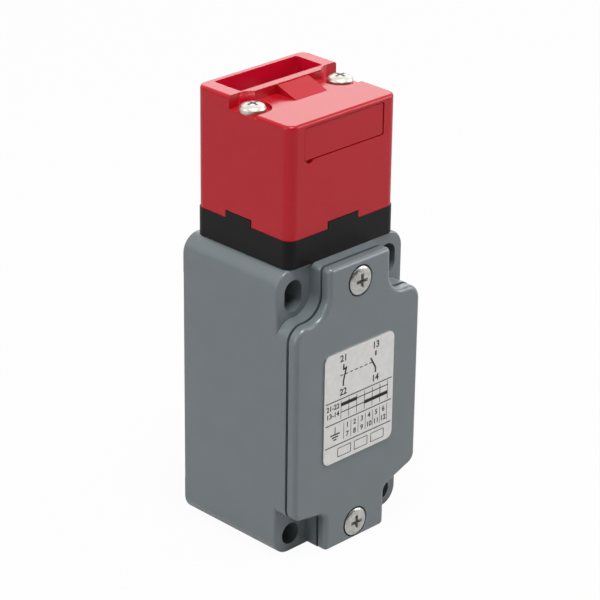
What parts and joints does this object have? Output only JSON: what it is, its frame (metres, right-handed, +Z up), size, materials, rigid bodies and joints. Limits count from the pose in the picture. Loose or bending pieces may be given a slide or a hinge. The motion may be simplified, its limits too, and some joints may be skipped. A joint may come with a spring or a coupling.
{
  "type": "tongue interlock switch",
  "caption": "Safety switch with a die-cast case, screwed cover, bottom cable entry and a red head whose slots take a key tongue.",
  "frame": {"origin": "centre of the cable entry in the bottom face, on the plunger's axis", "axes": "+Z up along the plunger axis to the head, -Y out of the cover, +Y out of the mounting face"},
  "size_m": [0.04, 0.0381, 0.1069],
  "materials": {
    "grey_casting": "die-cast aluminium, blue-grey semi-gloss powder coat",
    "black_rubber": "nitrile rubber seal",
    "zinc_steel": "zinc-plated steel, bright",
    "label_plate": "satin metallised plate, blank of names",
    "black_plastic": "glass-filled nylon, black",
    "red_plastic": "glossy red thermoplastic",
    "acetal": "natural acetal",
    "ivory_plastic": "moulded thermoset",
    "silvered_brass": "silver-plated brass",
    "spring_steel": "spring steel"
  },
  "bodies": {
    "case": {"housing": "grey_casting", "cover": "grey_casting", "cover_gasket": "black_rubber", "cover_screws": "zinc_steel", "rating_plate": "label_plate", "head_base": "black_plastic", "head_gasket": "black_rubber", "base_screws": "zinc_steel", "head_shell": "red_plastic", "entry_plug": "red_plastic", "head_screws": "zinc_steel", "rotor_axle": "zinc_steel", "contact_base": "ivory_plastic", "lower_terminals": "silvered_brass", "upper_terminals": "silvered_brass", "terminal_clamps": "zinc_steel", "terminal_screws": "zinc_steel", "block_screws": "zinc_steel", "earth_clamp": "zinc_steel", "earth_screw": "zinc_steel", "return_spring": "spring_steel"},
    "rotor": {"rotor": "acetal"},
    "plunger": {"plunger": "acetal"},
    "carrier": {"contact_carrier": "black_plastic", "lower_bridge": "silvered_brass", "upper_bridge": "silvered_brass", "contact_springs": "spring_steel"}
  },
  "joints": [
    {"name": "rotor_turn", "type": "hinge", "parent": "case", "child": "rotor", "pos_m": [0, 0, 0.0906], "axis": [-1, 0, 0], "range_deg": [0, 60]},
    {"name": "plunger_slide", "type": "slide", "parent": "case", "child": "plunger", "axis": [0, 0, 1], "range_m": [0, 0.003]},
    {"name": "carrier_slide", "type": "slide", "parent": "case", "child": "carrier", "axis": [0, 0, 1], "range_m": [0, 0.003], "deforming": ["return_spring"]}
  ],
  "couplings": [
    {"joint": "plunger_slide", "follows": "rotor_turn", "m_per_rad": 0.0028648},
    {"joint": "carrier_slide", "follows": "rotor_turn", "m_per_rad": 0.0028648}
  ]
}
